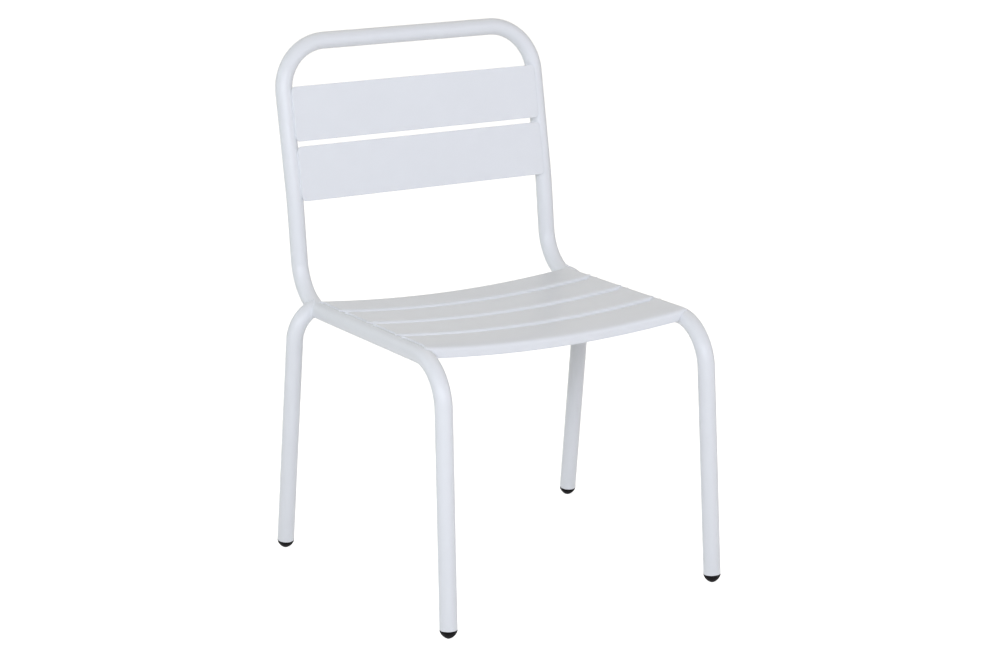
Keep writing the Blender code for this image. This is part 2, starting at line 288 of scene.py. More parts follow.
def new_object(name, data):
    obj = bpy.data.objects.new(name, data)
    bpy.context.scene.collection.objects.link(obj)
    return obj


def curve_object(name, paths, closed=False):
    """A bare curve through each list of points."""
    curve = bpy.data.curves.new(name, "CURVE")
    curve.dimensions = "3D"
    for path in paths:
        spline = curve.splines.new("POLY")
        spline.points.add(len(path) - 1)
        spline.use_cyclic_u = closed
        for control, point in zip(spline.points, path):
            control.co = (*point, 1.0)
    return new_object(name, curve)


def plain_mesh(obj, name):
    """The evaluated shape of an object as a mesh object at the origin; the first object goes."""
    depsgraph = bpy.context.evaluated_depsgraph_get()
    mesh = bpy.data.meshes.new_from_object(obj.evaluated_get(depsgraph), depsgraph=depsgraph)
    if not mesh.polygons:
        raise RuntimeError("no faces were made for " + name)
    bpy.data.objects.remove(obj, do_unlink=True)
    mesh.name = name
    return new_object(name, mesh)


def closed_up(piece, sharp=SHARP):
    """Merges doubles, turns the faces outwards and smooths a piece between its sharp edges."""
    form = bmesh.new()
    form.from_mesh(piece.data)
    bmesh.ops.remove_doubles(form, verts=form.verts, dist=MERGE)
    bmesh.ops.recalc_face_normals(form, faces=form.faces)
    form.to_mesh(piece.data)
    form.free()
    piece.data.shade_smooth()
    piece.data.set_sharp_from_angle(angle=sharp)
    return piece


def mesh_piece(name, form):
    """Turns an edited form into a mesh object; the form goes."""
    mesh = bpy.data.meshes.new(name)
    form.to_mesh(mesh)
    form.free()
    return new_object(name, mesh)


def round_over(form, edges, radius, segments):
    bmesh.ops.bevel(form, geom=edges, offset=radius, segments=segments, profile=0.5, affect="EDGES")


def declare(piece, material, slot_name, *nodes):
    """Gives a finished piece its finish, its body and the frame's nodes that it stands for."""
    piece.data.materials.clear()
    piece.data.materials.append(material)
    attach(piece, BODY)
    if nodes:
        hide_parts(*nodes)


# Node trees for what follows a path

# Faces round a bead, its steps in a ripple, its unevenness, its taper and its least radius
BEAD_SIDES = 14
BEAD_STEPS = 5.0
BEAD_UNEVEN_SCALE = 260.0
BEAD_UNEVEN = 4.0
BEAD_TAPER = 10.0
BEAD_LEAST = 0.00005


def new_shape_tree(name, sockets):
    """An empty geometry tree with a geometry input and output, and one named input for each size."""
    tree = bpy.data.node_groups.new(name, "GeometryNodeTree")
    tree.is_modifier = True
    tree.interface.new_socket(name="Geometry", in_out="OUTPUT", socket_type="NodeSocketGeometry")
    tree.interface.new_socket(name="Geometry", in_out="INPUT", socket_type="NodeSocketGeometry")
    for label, kind in sockets.items():
        tree.interface.new_socket(name=label, in_out="INPUT", socket_type="NodeSocket" + kind)
    return tree


def add_node(tree, kind, **values):
    node = tree.nodes.new(kind)
    for key, value in values.items():
        setattr(node, key, value)
    return node


def use_tree(obj, tree, **inputs):
    """Puts a tree on an object as a modifier and sets its inputs by identifier."""
    modifier = obj.modifiers.new(tree.name, "NODES")
    modifier.node_group = tree
    sockets = [item for item in tree.interface.items_tree if item.in_out == "INPUT"]
    labels = {socket.name: socket.identifier for socket in sockets}
    for label, value in inputs.items():
        modifier[labels[label]] = value


def tube_tree():
    """A round tube along a path, closed at its ends."""
    name = "Tube Along Path"
    if name in bpy.data.node_groups:
        return bpy.data.node_groups[name]
    tree = new_shape_tree(name, {"Radius": "Float", "Sides": "Int", "Finish": "Material"})
    link = tree.links.new
    given = add_node(tree, "NodeGroupInput")
    circle = add_node(tree, "GeometryNodeCurvePrimitiveCircle")
    link(given.outputs["Radius"], circle.inputs["Radius"])
    link(given.outputs["Sides"], circle.inputs["Resolution"])
    skin = add_node(tree, "GeometryNodeCurveToMesh")
    skin.inputs["Fill Caps"].default_value = True
    link(given.outputs["Geometry"], skin.inputs["Curve"])
    link(circle.outputs["Curve"], skin.inputs["Profile Curve"])
    end_tree(tree, skin.outputs["Mesh"], given)
    return tree


def end_tree(tree, shape, given):
    """Every tree ends by realising its instances and setting its finish."""
    real = add_node(tree, "GeometryNodeRealizeInstances")
    tree.links.new(shape, real.inputs["Geometry"])
    painted = add_node(tree, "GeometryNodeSetMaterial")
    tree.links.new(real.outputs["Geometry"], painted.inputs["Geometry"])
    tree.links.new(given.outputs["Finish"], painted.inputs["Material"])
    out = add_node(tree, "NodeGroupOutput")
    tree.links.new(painted.outputs["Geometry"], out.inputs["Geometry"])


def bead_tree():
    """A weld bead along a path: evenly rippled, a little uneven, and tapered at open ends."""
    name = "Weld Bead"
    if name in bpy.data.node_groups:
        return bpy.data.node_groups[name]
    sizes = {label: "Float" for label in ("Radius", "Pitch", "Ripple", "Taper")}
    tree = new_shape_tree(name, {**sizes, "Seed": "Int", "Finish": "Material"})
    link = tree.links.new
    given = add_node(tree, "NodeGroupInput")

    def maths(operation, first, second=None):
        node = add_node(tree, "ShaderNodeMath", operation=operation)
        for socket, value in zip(node.inputs, (first, second)):
            if isinstance(value, (int, float)):
                socket.default_value = value
            elif value is not None:
                link(value, socket)
        return node.outputs[0]

    even = add_node(tree, "GeometryNodeResampleCurve", mode="LENGTH")
    link(given.outputs["Geometry"], even.inputs["Curve"])
    link(maths("DIVIDE", given.outputs["Pitch"], BEAD_STEPS), even.inputs["Length"])
    along = add_node(tree, "GeometryNodeSplineParameter")
    ripples = maths("DIVIDE", along.outputs["Length"], given.outputs["Pitch"])
    phase = maths("MULTIPLY", ripples, 2 * math.pi)
    wave = maths("MULTIPLY", maths("SINE", phase), given.outputs["Ripple"])
    uneven = add_node(tree, "ShaderNodeTexNoise", noise_dimensions="4D")
    link(given.outputs["Seed"], uneven.inputs["W"])
    uneven.inputs["Scale"].default_value = BEAD_UNEVEN_SCALE
    wander = maths("SUBTRACT", uneven.outputs["Fac"], 0.5)
    wander = maths("MULTIPLY", wander, given.outputs["Ripple"])
    wander = maths("MULTIPLY", wander, BEAD_UNEVEN)
    swell = maths("ADD", maths("ADD", wave, wander), 1.0)
    factor = along.outputs["Factor"]
    ends = maths("MULTIPLY", factor, maths("SUBTRACT", 1.0, factor))
    ends = maths("MINIMUM", maths("MULTIPLY", ends, BEAD_TAPER), 1.0)
    rounded = maths("POWER", ends, 0.5)
    tapered = maths("MULTIPLY", rounded, given.outputs["Taper"])
    taper = maths("ADD", tapered, maths("SUBTRACT", 1.0, given.outputs["Taper"]))
    thick = add_node(tree, "GeometryNodeSetCurveRadius")
    link(even.outputs["Curve"], thick.inputs["Curve"])
    size = maths("MULTIPLY", maths("MULTIPLY", swell, taper), given.outputs["Radius"])
    link(maths("MAXIMUM", size, BEAD_LEAST), thick.inputs["Radius"])
    circle = add_node(tree, "GeometryNodeCurvePrimitiveCircle")
    circle.inputs["Radius"].default_value = 1.0
    circle.inputs["Resolution"].default_value = BEAD_SIDES
    skin = add_node(tree, "GeometryNodeCurveToMesh")
    skin.inputs["Fill Caps"].default_value = True
    link(thick.outputs["Curve"], skin.inputs["Curve"])
    link(circle.outputs["Curve"], skin.inputs["Profile Curve"])
    radius = add_node(tree, "GeometryNodeInputRadius")
    link(radius.outputs["Radius"], skin.inputs["Scale"])
    end_tree(tree, skin.outputs["Mesh"], given)
    return tree


# Finishes

NOISE_RANGE = (0.3, 0.7)
TONE_RANGE = (0.35, 0.65)
# Cloud, sheen and grain are noises: a scale per metre, a detail and a roughness
PAINT = {
    "cloud": (38.0, 3.0, 0.5),
    "sheen": (120.0, 2.0, 0.5),
    "roughness": (0.31, 0.35),
    "grain": (620.0, 2.0, 0.45),
    "strength": 0.12,
    "depth": 0.00006,
    "IOR": 1.46,
}
MOULDED = {
    "cloud": (220.0, 3.0, 0.5),
    "sheen": (220.0, 3.0, 0.5),
    "roughness": (0.50, 0.60),
    "grain": (1500.0, 2.0, 0.5),
    "strength": 0.25,
    "depth": 0.00004,
    "Specular_IOR_Level": 0.06,
}


def preset(node, **values):
    """Sets a node's inputs, with _ for a blank in a name."""
    for label, value in values.items():
        node.inputs[label.replace("_", " ")].default_value = value


def shader_parts(name):
    """A new material, its node tree, its shader and the object's coordinates."""
    material = bpy.data.materials.new(name)
    material.use_nodes = True
    tree = material.node_tree
    where = add_node(tree, "ShaderNodeTexCoord")
    return material, tree, tree.nodes["Principled BSDF"], where.outputs["Object"]


def noise(tree, where, scale, detail, roughness):
    node = add_node(tree, "ShaderNodeTexNoise")
    preset(node, Scale=scale, Detail=detail, Roughness=roughness)
    tree.links.new(where, node.inputs["Vector"])
    return node.outputs["Fac"]


def tones(tree, fac, first, second):
    """Runs a noise between two colours."""
    ramp = add_node(tree, "ShaderNodeValToRGB")
    for stop, position, tone in zip(ramp.color_ramp.elements, TONE_RANGE, (first, second)):
        stop.position = position
        stop.color = (*tone, 1.0)
    tree.links.new(fac, ramp.inputs["Fac"])
    return ramp.outputs["Color"]


def spread(tree, fac, limits):
    """Runs a noise between two values."""
    node = add_node(tree, "ShaderNodeMapRange")
    preset(node, From_Min=NOISE_RANGE[0], From_Max=NOISE_RANGE[1])
    preset(node, To_Min=limits[0], To_Max=limits[1])
    tree.links.new(fac, node.inputs["Value"])
    return node.outputs["Result"]


def relief(tree, shader, height, strength, depth):
    """Turns a noise into fine relief."""
    bump = add_node(tree, "ShaderNodeBump")
    preset(bump, Strength=strength, Distance=depth)
    tree.links.new(height, bump.inputs["Height"])
    tree.links.new(bump.outputs["Normal"], shader.inputs["Normal"])


def finish(name, tone_pair, cloud, sheen, roughness, grain, strength, depth, **more):
    """A material of two near tones, with an uneven sheen and a fine relief; made once."""
    if name in bpy.data.materials:
        return bpy.data.materials[name]
    material, tree, shader, where = shader_parts(name)
    tone = tones(tree, noise(tree, where, *cloud), *tone_pair)
    tree.links.new(tone, shader.inputs["Base Color"])
    dullness = spread(tree, noise(tree, where, *sheen), roughness)
    tree.links.new(dullness, shader.inputs["Roughness"])
    relief(tree, shader, noise(tree, where, *grain), strength, depth)
    preset(shader, **more)
    return material


def powder_coat():
    """Satin white powder coat: a fine orange peel under soft gloss, and barely uneven in tone."""
    colours = bpy.context.scene.chair_finish
    return finish("satin_white_powder_coat", (colours.paint_low, colours.paint), **PAINT)


def moulded_black():
    """Black moulded plastic with a faint satin grain."""
    colours = bpy.context.scene.chair_finish
    return finish("moulded_black_foot", (colours.foot, colours.foot_low), **MOULDED)


# Frame

NEAR_FLOOR = 0.02
RIM_SEGMENTS = 3
COPING_SIDES = 96
COPING_BITE = 0.0001


def softened_end(piece, floor_points, radius):
    """Rounds the cut rims of a tube at its feet."""
    form = bmesh.new()
    form.from_mesh(piece.data)
    bmesh.ops.remove_doubles(form, verts=form.verts, dist=MERGE)
    low = []
    for cap in (face for face in form.faces if len(face.verts) > MANY_SIDES):
        middle = cap.calc_center_median()
        if min((middle - point).length for point in floor_points) < NEAR_FLOOR:
            low.append(cap)
    round_over(form, list({edge for cap in low for edge in cap.edges}), radius, RIM_SEGMENTS)
    form.to_mesh(piece.data)
    form.free()


def tube_skin(name, path, radius, sides):
    guide = curve_object(name + "_path", [path])
    use_tree(guide, tube_tree(), Radius=radius, Sides=sides, Finish=powder_coat())
    return plain_mesh(guide, name)


class CHAIR_OT_frame_tube(bpy.types.Operator):
    """Build the one bent tube that makes the front legs, rails, uprights and top hoop"""

    bl_idname = "chair.frame_tube"
    bl_label = "Frame tube"

    def execute(self, context):
        tube = context.scene.chair_tube
        piece = tube_skin("frame_tube_skin", frame_path(tube), tube.diameter / 2, tube.sides)
        feet = (Vector(tube.front_foot), mirrored(Vector(tube.front_foot)))
        softened_end(piece, feet, tube.end_round)
        closed_up(piece)
        declare(piece, powder_coat(), PAINT_SLOT, "frame_tube")
        return {"FINISHED"}


class CHAIR_OT_rear_legs(bpy.types.Operator):
    """Build the two rear legs, coped to the outer side of the rails"""

    bl_idname = "chair.rear_legs"
    bl_label = "Rear legs"

    def execute(self, context):
        tube = context.scene.chair_tube
        path = rear_leg_path(tube)
        radius = tube.diameter / 2
        # The frame's tube again, a little thinner, as the shape that the legs are coped to
        solid = tube_skin("rail_solid", frame_path(tube), radius - COPING_BITE, COPING_SIDES)
        closed_up(solid)
        for side, put in PAIR:
            side_path = [put(point) for point in path]
            rough = closed_up(tube_skin("rear_leg_rough", side_path, radius, tube.sides))
            softened_end(rough, [put(Vector(tube.rear_foot))], tube.end_round)
            coping = rough.modifiers.new("coping", "BOOLEAN")
            coping.operation = "DIFFERENCE"
            coping.solver = "EXACT"
            coping.object = solid
            piece = closed_up(plain_mesh(rough, "rear_leg_%s_skin" % side))
            declare(piece, powder_coat(), PAINT_SLOT, "rear_leg_" + side)
        bpy.data.objects.remove(solid, do_unlink=True)
        return {"FINISHED"}


# Seat

FLAT_STEP = 0.003
# Above 1, a slat's stations crowd towards its ends
END_CROWDING = 1.15
SHEET_EDGE_SEGMENTS = 2


def seat_section(rear_edge, moves, fold_step):
    """A folded sheet's outer face in the YZ plane, from its rear edge upwards and then forward.

    Each move is a radius and the angle it turns, or a radius of 0 and a straight length.
    """
    position = Vector((0.0, 0.0, 0.0))
    heading = 0.0
    points = [position.copy()]
    for radius, amount in moves:
        if radius == 0.0:
            steps = max(1, round(amount / FLAT_STEP))
            ahead = Vector((0.0, -math.sin(heading), math.cos(heading)))
            for _ in range(steps):
                position = position + amount / steps * ahead
                points.append(position.copy())
            continue
        steps = max(3, round(amount / fold_step))
        centre = position + radius * Vector((0.0, -math.cos(heading), -math.sin(heading)))
        for step in range(1, steps + 1):
            angle = heading + amount * step / steps
            points.append(centre + radius * Vector((0.0, math.cos(angle), math.sin(angle))))
        position = points[-1].copy()
        heading += amount
    top = max(point.z for point in points)
    return [Vector((0.0, point.y + rear_edge, point.z - top)) for point in points]


def seat_layout(tube, seat):
    """Each slat's section, the frame that lies on the rails, and where the front bend starts in it."""
    corners = frame_corners(tube)
    rail = corners[2] - corners[1]
    slope = math.atan2(rail.z, rail.y)
    middle = corners[1] + rail / 2
    height = tube.diameter / 2 + seat.lift + seat.sheet
    up = Vector((0.0, -math.sin(slope), math.cos(slope)))
    origin = Vector((0.0, middle.y, middle.z)) + up * height
    lie = Matrix.Translation(origin) @ Matrix.Rotation(slope, 4, "X")
    bend = Bend(corners[0], corners[1], corners[2], tube.front_bend)
    bend_end = (bend.point(bend.turn) - corners[1]).length - rail.length / 2
    fold = (seat.fold, math.pi / 2)
    flange = (0.0, seat.flange)
    rear_edge = rail.length / 2 - seat.rear_edge
    depth = seat.rear_slat_depth
    sections = {}
    for name in ("rear", "mid_rear", "mid_front"):
        moves = [flange, fold, (0.0, depth - 2 * seat.fold), fold, flange]
        sections[name] = seat_section(rear_edge, moves, seat.fold_step)
        rear_edge -= depth + seat.gap
        depth = seat.slat_depth
    follow = (tube.front_bend + height, seat.lip_follow)
    roll = (seat.lip_fold, math.pi / 2 - seat.lip_follow)
    flat = (0.0, rear_edge - seat.fold - bend_end)
    moves = [flange, fold, flat, follow, roll, (0.0, seat.lip)]
    sections["front"] = seat_section(rear_edge, moves, seat.fold_step)
    return sections, lie, bend_end, height


def slat_ends(tube, seat, section, bend_end, height):
    """For each point of a section, its height over the rail's centre line and the sheet's end."""
    reach = tube.diameter / 2 + seat.cope
    bend_centre = Vector((0.0, bend_end, -height - tube.front_bend))
    above = []
    for point in section:
        if point.y > bend_end:
            above.append(height + point.z)
        else:
            above.append((point - bend_centre).length - tube.front_bend)
    level = [point.y for point, tall in zip(section, above) if tall > height - MERGE]
    rear, front = max(level), min(level)
    ends = []
    for point, tall in zip(section, above):
        coped = tube.front_corner[0] - math.sqrt(max(reach**2 - min(tall, height) ** 2, 0.0))
        inward = min(rear - point.y, point.y - front)
        if tall < height - MERGE:
            end = coped
            if point.y < bend_end:
                low = max((height - seat.lip_fold - tall) / seat.lip, 0.0)
                end -= seat.lip_relief * low**2
        elif inward >= seat.corner:
            end = seat.half_width
        else:
            share = 1.0 - inward / seat.corner
            end = coped + (seat.half_width - coped) * math.sqrt(max(1.0 - share**2, 0.0))
        ends.append((tall, end))
    return ends


def dished(seat, point, x, drop=0.0):
    """A section's point carried out to x, on the dish or a drop below it."""
    sag = seat.dish * (1.0 - (x / seat.half_width) ** 2)
    return Vector((x, point.y, point.z - sag - drop))


def slat_sheet(name, seat, section, ends, lie):
    """One pressed slat: its section carried from side to side, dished, with coped ends."""
    form = bmesh.new()
    columns = []
    for point, (_, end) in zip(section, ends):
        column = []
        for station in range(seat.stations + 1):
            share = 2 * station / seat.stations - 1
            share = math.copysign(1.0 - (1.0 - abs(share)) ** END_CROWDING, share)
            column.append(form.verts.new(lie @ dished(seat, point, end * share)))
        columns.append(column)
    for here, there in zip(columns, columns[1:]):
        for index in range(seat.stations):
            form.faces.new((here[index], here[index + 1], there[index + 1], there[index]))
    bmesh.ops.recalc_face_normals(form, faces=form.faces)
    upper = max(form.faces, key=lambda face: face.calc_center_median().z)
    if upper.normal.z < 0.0:
        bmesh.ops.reverse_faces(form, faces=form.faces)
    rough = mesh_piece(name + "_rough", form)
    rough.data.shade_smooth()
    wall = rough.modifiers.new("sheet", "SOLIDIFY")
    wall.thickness = seat.sheet
    wall.offset = -1.0
    wall.use_even_offset = True
    soft = rough.modifiers.new("edge", "BEVEL")
    soft.width = seat.edge
    soft.segments = SHEET_EDGE_SEGMENTS
    soft.limit_method = "ANGLE"
    soft.angle_limit = CREASE
    piece = plain_mesh(rough, name)
    piece.data.shade_smooth()
    return piece


class CHAIR_OT_seat_slats(bpy.types.Operator):
    """Build the four pressed seat slats, dished from side to side, with folded edges"""

    bl_idname = "chair.seat_slats"
    bl_label = "Seat slats"

    def execute(self, context):
        tube, seat = context.scene.chair_tube, context.scene.chair_seat
        sections, lie, bend_end, height = seat_layout(tube, seat)
        for name, section in sections.items():
            ends = slat_ends(tube, seat, section, bend_end, height)
            piece = slat_sheet("seat_slat_%s_sheet" % name, seat, section, ends, lie)
            declare(piece, powder_coat(), PAINT_SLOT, "seat_slat_" + name)
        return {"FINISHED"}


# Back

CORNER_STEPS = 10
PLATE_EDGE_SEGMENTS = 4
# A loop this far inside the rim keeps the flat faces flat under smooth shading
RIM_LOOP = 0.0004


def back_lie(tube, back, start):
    """The frame of a back slat: X across, Y out of its rear face, Z up along the uprights."""
    corners = frame_corners(tube)
    along = (corners[4] - corners[3]).normalized()
    forward = Vector((0.0, -along.z, along.y))
    middle = Vector((0.0, corners[3].y, corners[3].z)) + along * (start + back.height / 2)
    inside = corners[4].x - back.half_width
    seated = math.sqrt((tube.diameter / 2 + back.lift) ** 2 - inside**2)
    middle += forward * (seated + back.sheet / 2)
    return Matrix.Translation(middle) @ Matrix.Rotation(-math.atan2(along.y, along.z), 4, "X")


def plate_outline(back):
    """A back slat's outline with round corners, in its rear face's plane."""
    inner_x = back.half_width - back.corner
    inner_z = back.height / 2 - back.corner
    outline = []
    for quarter, (side, end) in enumerate(((1, 1), (-1, 1), (-1, -1), (1, -1))):
        centre = Vector((side * inner_x, 0.0, end * inner_z))
        for step in range(CORNER_STEPS + 1):
            angle = math.pi / 2 * (quarter + step / CORNER_STEPS)
            outline.append(centre + back.corner * Vector((math.cos(angle), 0.0, math.sin(angle))))
    return outline


def back_plate(back):
    """A flat slat with softened edges, around its own origin."""
    form = bmesh.new()
    shift = Vector((0.0, -back.sheet / 2, 0.0))
    plate = form.faces.new([form.verts.new(point + shift) for point in plate_outline(back)])
    grown = bmesh.ops.extrude_face_region(form, geom=[plate])["geom"]
    moved = [item for item in grown if isinstance(item, bmesh.types.BMVert)]
    bmesh.ops.translate(form, verts=moved, vec=(0.0, back.sheet, 0.0))
    bmesh.ops.recalc_face_normals(form, faces=form.faces)
    rims = [edge for edge in form.edges if edge.calc_face_angle() > CREASE]
    round_over(form, rims, back.edge, PLATE_EDGE_SEGMENTS)
    wide = [face for face in form.faces if len(face.verts) > MANY_SIDES]
    bmesh.ops.inset_region(form, faces=wide, thickness=RIM_LOOP)
    return form


class CHAIR_OT_back_slats(bpy.types.Operator):
    """Build the two flat back slats, with rounded corners and softened edges"""

    bl_idname = "chair.back_slats"
    bl_label = "Back slats"

    def execute(self, context):
        tube, back = context.scene.chair_tube, context.scene.chair_back
        start = back.start
        for name in ("lower", "upper"):
            form = back_plate(back)
            bmesh.ops.transform(form, matrix=back_lie(tube, back, start), verts=form.verts)
            piece = closed_up(mesh_piece("back_slat_%s_plate" % name, form))
            declare(piece, powder_coat(), PAINT_SLOT, "back_slat_" + name)
            start += back.height + back.gap
        return {"FINISHED"}


# Feet

STEM_CLEARANCE = 0.0003
STEM_CHAMFER = 0.0008
RIM_STEPS = 4


def foot_profile(tube, foot):
    """Half of a foot's outline: up to the stem's end, out over the rim and down round the dome."""
    radius = tube.diameter / 2
    stem = radius - foot.wall - STEM_CLEARANCE
    rim = radius - foot.rim
    profile = [
        (0.0, foot.stem),
        (stem - STEM_CHAMFER, foot.stem),
        (stem, foot.stem - STEM_CHAMFER),
        (stem, 0.0),
        (rim, 0.0),
    ]
    for step in range(1, RIM_STEPS + 1):
        angle = math.pi / 2 * step / RIM_STEPS
        profile.append((rim + foot.rim * math.sin(angle), -foot.rim + foot.rim * math.cos(angle)))
    for step in range(1, foot.steps + 1):
        angle = math.pi / 2 * step / foot.steps
        across = radius * max(math.cos(angle), 0.0) ** foot.power
        down = (foot.dome - foot.rim) * math.sin(angle) ** foot.power
        profile.append((across, -foot.rim - down))
    return profile


def foot_form(tube, foot):
    """A foot turned from its outline, with its stem up from the tube's end."""
    form = bmesh.new()
    points = [form.verts.new((x, 0.0, z)) for x, z in foot_profile(tube, foot)]
    for first, second in zip(points, points[1:]):
        form.edges.new((first, second))
    bmesh.ops.spin(
        form,
        geom=form.verts[:] + form.edges[:],
        axis=(0.0, 0.0, 1.0),
        cent=(0.0, 0.0, 0.0),
        angle=2 * math.pi,
        steps=tube.sides,
    )
    bmesh.ops.remove_doubles(form, verts=form.verts, dist=MERGE)
    return form


class CHAIR_OT_feet(bpy.types.Operator):
    """Build the four black domed feet on their stems, each cut flat where it stands"""

    bl_idname = "chair.feet"
    bl_label = "Feet"

    def execute(self, context):
        tube, foot = context.scene.chair_tube, context.scene.chair_foot
        corners = frame_corners(tube)
        ends = {
            "front": (corners[0], raised(corners[0], corners[1], tube.foot_stand)),
            "rear": (Vector(tube.rear_foot), rear_leg_path(tube)[0]),
        }
        for row, (ground, end) in ends.items():
            for side, put in PAIR:
                form = foot_form(tube, foot)
                floor_point, tube_end = put(ground), put(end)
                axis = (tube_end - floor_point).normalized()
                upright = axis.to_track_quat("Z", "Y").to_matrix().to_4x4()
                stand = Matrix.Translation(tube_end) @ upright
                bmesh.ops.transform(form, matrix=stand, verts=form.verts)
                for vert in form.verts:
                    vert.co.z = max(vert.co.z, 0.0)
                name = "foot_%s_%s" % (row, side)
                piece = closed_up(mesh_piece(name + "_dome", form))
                declare(piece, moulded_black(), FOOT_SLOT, name)
        return {"FINISHED"}


# Welds

SEAM_POINTS = 72
NEAR_WELD = 0.09


def distance_to(path, point):
    """How far a point is from a centre line."""
    gaps = []
    for start, end in zip(path, path[1:]):
        run = end - start
        share = min(max((point - start).dot(run) / run.length_squared, 0.0), 1.0)
        gaps.append((point - (start + run * share)).length)
    return min(gaps)


def leg_seam(tube):
    """The closed line where the right rear leg's surface meets the rail's."""
    radius = tube.diameter / 2
    rail = frame_path(tube)
    near = [point for point in rail if (point - rear_weld(tube)).length < NEAR_WELD]
    leg = rear_leg_path(tube)
    tangents = []
    for index, point in enumerate(leg):
        before = leg[max(index - 1, 0)]
        after = leg[min(index + 1, len(leg) - 1)]
        tangents.append((after - before).normalized())
    side = (leg[-1] - leg[1]).cross(leg[2] - leg[1]).normalized()
    seam = []
    for step in range(SEAM_POINTS):
        angle = 2 * math.pi * step / SEAM_POINTS
        last = None
        for point, tangent in zip(leg[1:], tangents[1:]):
            across = tangent.cross(side).normalized()
            spot = point + radius * (side * math.cos(angle) + across * math.sin(angle))
            gap = distance_to(near, spot) - radius
            if last and gap <= 0.0 < last[1]:
                share = last[1] / (last[1] - gap)
                seam.append(last[0].lerp(spot, share))
                break
            last = (spot, gap)
        else:
            seam.append(last[0])
    return seam


def flange_seams(tube, seat, weld, section, ends, lie, height):
    """The lines down the ends of a slat's folded edges, on both rails, where they are welded."""
    low = height - 2 * seat.fold
    outer = []
    for point, (tall, end) in zip(section, ends):
        if tall <= low:
            outer.append((point, end + weld.radius / 2))
    middle = sum(point.y for point in section) / len(section)
    seams = []
    for rear in (True, False):
        run = [item for item in outer if (item[0].y > middle) == rear]
        for side in (-1.0, 1.0):
            seams.append([lie @ dished(seat, point, side * x) for point, x in run])
    return seams


def end_seams(seat, weld, section, ends, lie, height):
    """The lines under a seat slat's two ends, where the sheet lies on the rails."""
    drop = seat.sheet + weld.fillet / 4
    run = []
    for point, (tall, end) in zip(section, ends):
        if tall > height - seat.fold:
            run.append((point, end))
    seams = []
    for side in (-1.0, 1.0):
        seams.append([lie @ dished(seat, point, side * x, drop) for point, x in run])
    return seams


def tack_seams(tube, back, weld, lie):
    """Four short lines behind a back slat, in the crease between it and each upright."""
    depth = back.sheet / 2 + weld.radius / 2
    inside = tube.hoop_corner[0] - back.half_width
    seated = math.sqrt((tube.diameter / 2 + back.lift) ** 2 - inside**2)
    reach = tube.diameter / 2 + weld.radius / 3
    across = tube.hoop_corner[0] - math.sqrt(reach**2 - (seated - weld.radius / 2) ** 2)
    seams = []
    for side in (-1.0, 1.0):
        for middle in (-back.height / 4, back.height / 4):
            ends = (middle - weld.tack / 2, middle + weld.tack / 2)
            seams.append([lie @ Vector((side * across, depth, z)) for z in ends])
    return seams


def plate_seams(back, lie):
    """The lines down a back slat's two ends, where its rear edge lies on the uprights."""
    half = back.height / 2 - back.corner
    seams = []
    for side in (-1.0, 1.0):
        x = side * back.half_width
        seams.append([lie @ Vector((x, back.sheet / 2, z)) for z in (-half, half)])
    return seams


class CHAIR_OT_weld_beads(bpy.types.Operator):
    """Build the painted weld beads at the rear legs and behind the slats"""

    bl_idname = "chair.weld_beads"
    bl_label = "Weld beads"

    def execute(self, context):
        tube, seat = context.scene.chair_tube, context.scene.chair_seat
        back, weld = context.scene.chair_back, context.scene.chair_weld
        seam = leg_seam(tube)
        for side, put in PAIR:
            ring = [put(point) for point in seam]
            self.weld("rear_leg_%s_weld" % side, weld, [ring], closed=True)
        sections, lie, bend_end, height = seat_layout(tube, seat)
        for name, section in sections.items():
            ends = slat_ends(tube, seat, section, bend_end, height)
            seams = flange_seams(tube, seat, weld, section, ends, lie, height)
            if name == "front":
                # The lip's ends stand free of the legs, so only the rear edge is welded
                seams = seams[:2]
            self.weld("seat_slat_%s_welds" % name, weld, seams)
            fillets = end_seams(seat, weld, section, ends, lie, height)
            self.fillet("seat_slat_%s_fillets" % name, weld, fillets)
        start = back.start
        for name in ("lower", "upper"):
            lie = back_lie(tube, back, start)
            self.weld("back_slat_%s_welds" % name, weld, tack_seams(tube, back, weld, lie))
            self.fillet("back_slat_%s_fillets" % name, weld, plate_seams(back, lie))
            start += back.height + back.gap
        return {"FINISHED"}

    def weld(self, name, weld, seams, closed=False):
        self.bead(name, weld, seams, weld.radius, weld.ripple, closed)

    def fillet(self, name, weld, seams):
        self.bead(name, weld, seams, weld.fillet, 0.0, False)

    def bead(self, name, weld, seams, radius, ripple, closed):
        guide = curve_object(name + "_path", seams, closed)
        use_tree(
            guide,
            bead_tree(),
            Radius=radius,
            Pitch=weld.pitch,
            Ripple=ripple,
            Taper=0.0 if closed else 1.0,
            Seed=weld.seed,
            Finish=powder_coat(),
        )
        piece = closed_up(plain_mesh(guide, name), BEAD_SHARP)
        declare(piece, powder_coat(), PAINT_SLOT)


# Stage

# Each lamp's azimuth and elevation seen from the aim in degrees, its width and height, power and tint
LAMPS = (
    ("front_key", -35.0, 22.0, 3.0, 0.7, 42.5, (0.880, 0.915, 1.000)),
    ("left_front_strip", -71.0, 25.0, 0.25, 1.5, 8.0, (0.880, 0.915, 1.000)),
    ("front_strip", -5.0, 25.0, 0.25, 1.5, 6.0, (0.880, 0.915, 1.000)),
    ("left_rear", -116.0, 24.0, 0.3, 1.5, 6.5, (0.850, 0.970, 1.000)),
    ("left_back", -150.0, 28.0, 0.8, 1.2, 2.5, (0.850, 0.970, 1.000)),
    ("rear_high", 150.0, 62.0, 1.5, 1.5, 5.5, (1.000, 0.840, 0.640)),
    ("right_front", 45.0, 18.0, 1.5, 1.5, 14.5, (0.900, 0.890, 1.000)),
)
LAMP_AIM = (0.0, 0.0, 0.30)
LAMP_DISTANCE = 3.0
WORLD_LEVEL = 0.3
WORLD_COLOUR = (1.0, 0.965, 0.85)
FLOOR_GLOW = 0.82
FLOOR_SQUARES = 8
FLOOR_ROUGHNESS = 0.9
